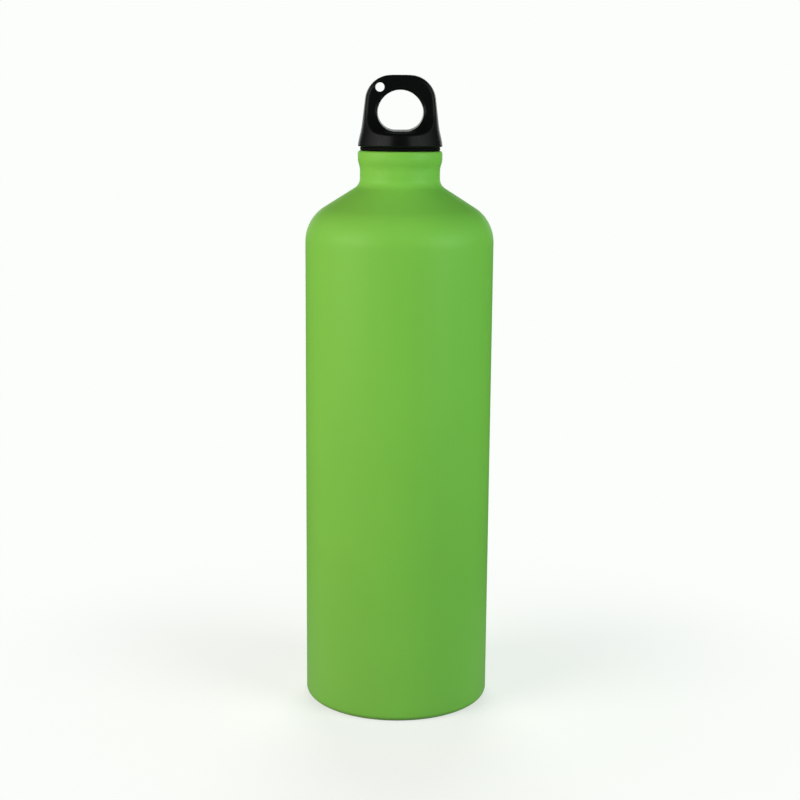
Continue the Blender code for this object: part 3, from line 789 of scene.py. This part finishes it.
def surface_net(distance, low, high, step):
    """Points and four-sided faces round the cells of a grid that the surface passes through."""
    margin = GRID_MARGIN * step
    axes = [np.arange(a - margin, b + margin + step, step) for a, b in zip(low, high)]
    inside = distance(*np.meshgrid(*axes, indexing="ij")) < 0
    size = np.array(inside.shape) - 1
    wide, deep, high_up = size
    corners = list(itertools.product((0, 1), repeat=3))
    filled = sum(inside[i : i + wide, j : j + deep, k : k + high_up].astype(int) for i, j, k in corners)
    crossed = (filled > 0) & (filled < len(corners))
    number = np.full(size, -1)
    number[crossed] = np.arange(crossed.sum())
    points = (np.argwhere(crossed) + 0.5) * step + [a[0] for a in axes]
    faces = []
    for axis in range(3):
        across, up = (axis + 1) % 3, (axis + 2) % 3
        order = (axis, across, up)
        solid = inside.transpose(order)
        cells = number.transpose(order)
        below, above = solid[:-1, 1:-1, 1:-1], solid[1:, 1:-1, 1:-1]
        for at, turned_over in ((below & ~above, False), (above & ~below, True)):
            i, j, k = np.nonzero(at)
            ring = [cells[i, j, k], cells[i, j + 1, k], cells[i, j + 1, k + 1], cells[i, j, k + 1]]
            faces.append(np.stack(ring[::-1] if turned_over else ring, axis=1))
    return points, np.concatenate(faces)


def settled(distance, points, faces):
    """Evens out the points along the surface and brings them exactly onto it."""
    steps = np.eye(3) * PROBE
    starts, ends = faces.ravel(), np.roll(faces, -1, axis=1).ravel()
    shares = np.bincount(starts, minlength=len(points))[:, None]
    for round_number in range(2 * RELAX_ROUNDS):
        if round_number < RELAX_ROUNDS:
            sums = np.stack([np.bincount(starts, points[ends, i], len(points)) for i in range(3)], axis=1)
            points = (points + sums / shares) / 2
        slope = [distance(*(points + s).T) - distance(*(points - s).T) for s in steps]
        slope = np.stack(slope, axis=1) / (2 * PROBE)
        steepness = np.maximum((slope**2).sum(axis=1), LEAST_SLOPE)
        points = points - slope * (distance(*points.T) / steepness)[:, None]
    return points


class BOTTLE_OT_loop_cap(bpy.types.Operator):
    """Moulds the loop cap: skirt, sloped roof, loop, finger hole and cord hole with their roundings"""

    bl_idname = "bottle.loop_cap"
    bl_label = "Loop Cap"

    def execute(self, context):
        c = context.scene.cap_sizes

        def distance(x, y, z):
            return cap_distance(c, x, y, z)

        points, faces = surface_net(distance, cap_low, cap_high, MOULDING_GRID)
        shape = settled(distance, points, faces).tolist(), faces.tolist()
        plastic = moulded_plastic(context.scene.bottle_colours, cap_low.z + c.skirt_height)
        finished("moulded_cap", shape, [plastic], "cap", "loop_cap", MOULDED_SHARP_ANGLE)
        return {"FINISHED"}


def aimed(place, target):
    """The placing of a lamp at place that shines on target."""
    place = Vector(place)
    turn = (Vector(target) - place).to_track_quat("-Z", "Y")
    return Matrix.Translation(place) @ turn.to_matrix().to_4x4()


def soft_lamp(name, watts, tint, place, target):
    """A large rectangular lamp that neither the camera nor the gloss shows."""
    lamp = bpy.data.lights.new(name, "AREA")
    lamp.shape = "RECTANGLE"
    lamp.size, lamp.size_y = LAMP_SIZE
    lamp.spread = LAMP_SPREAD
    lamp.energy = watts
    lamp.color = tint
    holder = bpy.data.objects.new(name, lamp)
    holder.matrix_world = aimed(place, target)
    holder.visible_camera = False
    holder.visible_glossy = False
    bpy.context.scene.collection.objects.link(holder)


def floor_material(backdrop):
    """Pale floor, which takes the bottle's shadow near it and fades into the background further out."""
    material = bpy.data.materials.new("pale_floor")
    nodes = Nodes(material)
    nodes.tree.nodes.remove(nodes.tree.nodes["Principled BSDF"])
    place = nodes.place()
    away = nodes.node("ShaderNodeVectorMath", {"operation": "LENGTH"}, {0: place}, "Value")
    gloss = nodes.ray("Glossy")
    card = nodes.toned(nodes.noise(place, per_metre=700.0, detail=3.0), backdrop, *FLOOR_CARD)
    lit = nodes.node("ShaderNodeBsdfDiffuse", {}, {"Color": card})
    glow = nodes.node("ShaderNodeEmission", {}, {"Color": rgba(backdrop), "Strength": FLOOR_GLOW})
    near = nodes.node("ShaderNodeAddShader", {}, {0: lit, 1: glow})
    strength = 1 - gloss * FAR_FLOOR_LOSS
    far = nodes.node("ShaderNodeEmission", {}, {"Color": rgba(backdrop), "Strength": strength})
    shown = nodes.node("ShaderNodeMixShader", {}, {0: nodes.ramp(away, *FLOOR_FADE), 1: near, 2: far})
    dark = nodes.node("ShaderNodeBsdfDiffuse", {}, {"Color": rgba(DARK_CARD)})
    share_shown = nodes.seen() + gloss * FLOOR_IN_GLOSS
    surface = nodes.node("ShaderNodeMixShader", {}, {0: share_shown, 1: dark, 2: shown})
    nodes.feed(nodes.tree.nodes["Material Output"].inputs["Surface"], surface)
    return material


def studio_world(backdrop, v):
    """Plain room light behind the pale background, whose walls left, right and behind show in the gloss."""
    world = bpy.data.worlds.new("studio")
    bpy.context.scene.world = world
    nodes = Nodes(world)
    seen, gloss = nodes.seen(), nodes.ray("Glossy")
    direction = nodes.node("ShaderNodeTexCoord", output="Generated")
    across, deep, up = (nodes.along(direction, axis) for axis in "XYZ")
    turn = (across * across) / (across * across + deep * deep)
    opening = nodes.ramp(turn, *OPENING_SIDES) * nodes.ramp(deep, *OPENING_DEPTH)
    sides = nodes.ramp(across, *LEFT_TO_RIGHT, v.left_wall, v.right_wall) * (1 - opening)
    sides = sides * nodes.ramp(deep, *FRONT_TO_BACK, 1.0, v.side_share) * nodes.ramp(up, *WALL_TOP)
    behind = nodes.ramp(deep, *BACK_WALL_SIDES) * nodes.ramp(up, *BACK_WALL_TOP) * v.back_wall
    strength = (1 - seen - gloss) * v.room_glow + seen + gloss * (sides + behind)
    background = nodes.tree.nodes["Background"]
    nodes.feed(background.inputs["Color"], nodes.mixed(seen + gloss, WHITE, backdrop))
    nodes.feed(background.inputs["Strength"], strength)


class BOTTLE_OT_studio(bpy.types.Operator):
    """Sets up the pale floor and background, the soft lamps and the camera"""

    bl_idname = "bottle.studio"
    bl_label = "Studio"

    def execute(self, context):
        scene, v = context.scene, context.scene.studio_sizes
        backdrop = tuple(scene.bottle_colours.backdrop)
        sides = ((-1, -1), (1, -1), (1, 1), (-1, 1))
        corners = [(x * FLOOR_HALF, y * FLOOR_HALF, 0) for x, y in sides]
        sheet = bpy.data.meshes.new("floor")
        sheet.from_pydata(corners, [], [(0, 1, 2, 3)])
        sheet.materials.append(floor_material(backdrop))
        floor = bpy.data.objects.new("floor", sheet)
        scene.collection.objects.link(floor)

        aim = (0, 0, LAMP_AIM * cap_high.z)
        aside, ahead = v.lamp_distance * math.sin(v.lamp_side), v.lamp_distance * math.cos(v.lamp_side)
        soft_lamp("key_lamp", v.key_power, KEY_TINT, (-aside, -ahead, v.lamp_height), aim)
        soft_lamp("fill_lamp", v.fill_power, FILL_TINT, (aside, -ahead, v.lamp_height), aim)
        soft_lamp("back_lamp", v.back_power, WHITE, (0, v.lamp_distance, v.lamp_height), aim)
        studio_world(backdrop, v)

        camera = bpy.data.objects.new("camera", bpy.data.cameras.new("camera"))
        camera.data.lens = v.focal_length
        camera.data.clip_start = CLIP_START
        place = Matrix.Translation((v.camera_sidestep, -v.camera_distance, v.camera_height))
        turn = Matrix.Rotation(math.pi / 2 - v.camera_tilt, 4, "X") @ Matrix.Rotation(v.camera_roll, 4, "Z")
        camera.matrix_world = place @ turn
        scene.collection.objects.link(camera)
        scene.camera = camera
        scene.view_settings.view_transform = "Standard"
        return {"FINISHED"}


class BOTTLE_PT_sidebar(bpy.types.Panel):
    """Lists the bottle's sizes, colours and pieces"""

    bl_label = "Aluminium Bottle"
    bl_idname = "BOTTLE_PT_sidebar"
    bl_space_type = "VIEW_3D"
    bl_region_type = "UI"
    bl_category = "Bottle"

    def draw(self, context):
        for name, group in GROUPS.items():
            box = self.layout.box()
            for field in group.__annotations__:
                box.prop(getattr(context.scene, name), field)
        for operator in OPERATORS:
            self.layout.operator(operator.bl_idname)


GROUPS = {
    "shell_sizes": ShellSizes,
    "thread_sizes": ThreadSizes,
    "gasket_sizes": GasketSizes,
    "cap_sizes": CapSizes,
    "bottle_colours": Colours,
    "studio_sizes": StudioSizes,
}
OPERATORS = (
    BOTTLE_OT_shell,
    BOTTLE_OT_thread_ring,
    BOTTLE_OT_gasket,
    BOTTLE_OT_stopper,
    BOTTLE_OT_loop_cap,
    BOTTLE_OT_studio,
)


def register():
    for made in (*GROUPS.values(), *OPERATORS, BOTTLE_PT_sidebar):
        bpy.utils.register_class(made)
    for name, group in GROUPS.items():
        setattr(bpy.types.Scene, name, PointerProperty(type=group))


def unregister():
    for name in GROUPS:
        delattr(bpy.types.Scene, name)
    for made in (BOTTLE_PT_sidebar, *reversed(OPERATORS), *reversed(GROUPS.values())):
        bpy.utils.unregister_class(made)


def main():
    register()
    bpy.ops.bottle.shell()
    bpy.ops.bottle.thread_ring()
    bpy.ops.bottle.gasket()
    bpy.ops.bottle.stopper()
    bpy.ops.bottle.loop_cap()
    bpy.ops.bottle.studio()


if __name__ == "__main__":
    main()
